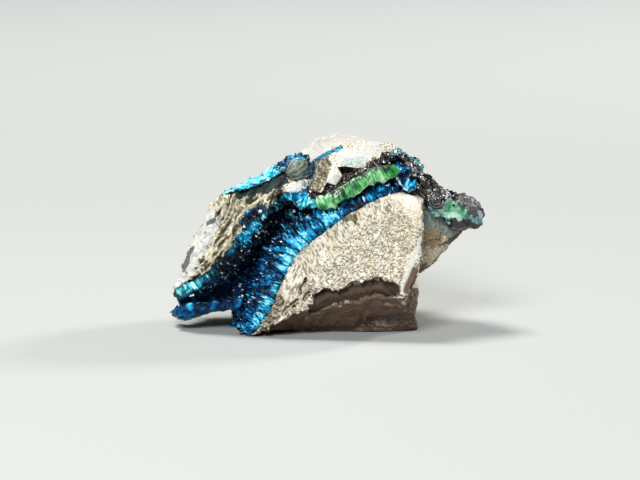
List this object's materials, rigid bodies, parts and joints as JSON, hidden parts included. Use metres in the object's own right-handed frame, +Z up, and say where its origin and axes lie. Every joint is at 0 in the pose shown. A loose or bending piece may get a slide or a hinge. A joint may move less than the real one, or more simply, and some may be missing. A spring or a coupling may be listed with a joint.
{
  "type": "clinoclase specimen",
  "caption": "Broken chip of pale host rock with a fissure lined by deep blue clinoclase, a green fibrous band and a black botryoidal crust.",
  "frame": {"origin": "bottom centre of the bounding box, on the flat break that the chip stands on", "axes": "+Z up, front face with the open fissure towards -Y, +X to the right when facing the fissure, along the longest extent"},
  "size_m": [0.0198, 0.0114, 0.0122],
  "materials": {
    "host_rock": "rough broken rock, cream on the faces and olive brown in its pits",
    "clinoclase": "glassy radiating fibres and small crystals, navy to bright cyan blue",
    "green_mineral": "silky fibrous bands, pale green at the edge",
    "black_mineral": "glossy botryoidal crust with growth rings"
  },
  "bodies": {
    "root": {"host_rock": "host_rock", "clinoclase_crust": "clinoclase", "upper_clinoclase_crust": "clinoclase", "green_crust": "green_mineral", "black_crust": "black_mineral"}
  },
  "joints": []
}
